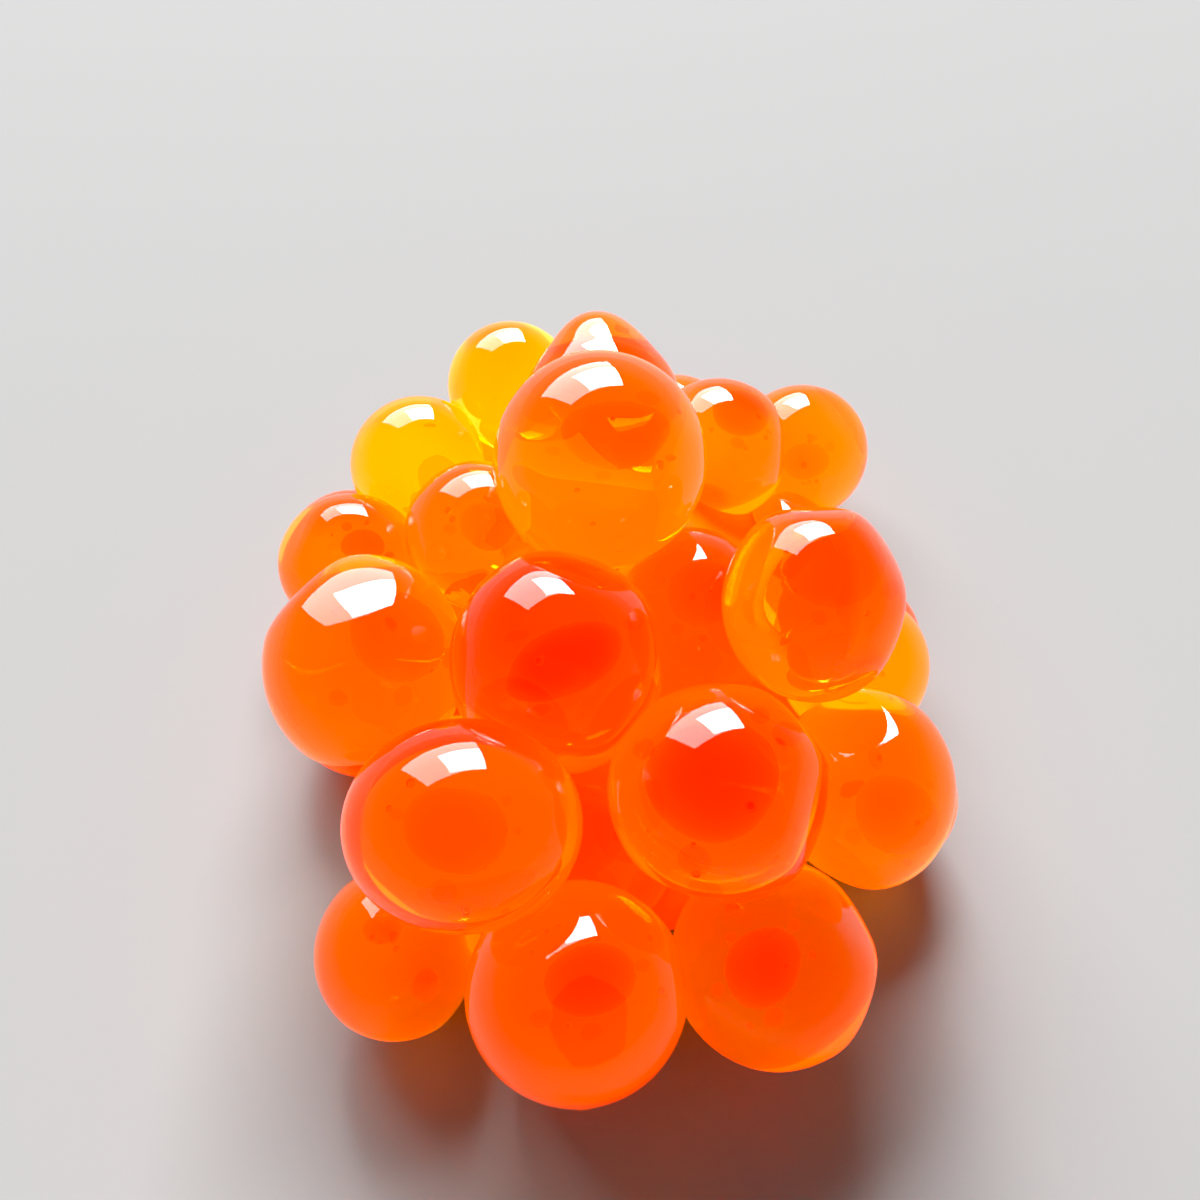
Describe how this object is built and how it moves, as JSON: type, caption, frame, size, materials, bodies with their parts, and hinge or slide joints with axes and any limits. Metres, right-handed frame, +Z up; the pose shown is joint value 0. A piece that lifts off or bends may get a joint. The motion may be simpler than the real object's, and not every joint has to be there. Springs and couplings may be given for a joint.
{
  "type": "heap of salmon roe",
  "caption": "Small heap of large orange salmon roe, glossy round eggs piled three layers deep and stuck together by brine.",
  "frame": {"origin": "on the surface the heap lies on, under the middle of its bounding box", "axes": "+Z up, +Y along the heap towards its lower back end, +X to the right as seen from the front"},
  "size_m": [0.033, 0.0432, 0.0204],
  "materials": {
    "roe": "wet, glossy and translucent"
  },
  "bodies": {
    "root": {"roe_heap": "roe"}
  },
  "joints": []
}
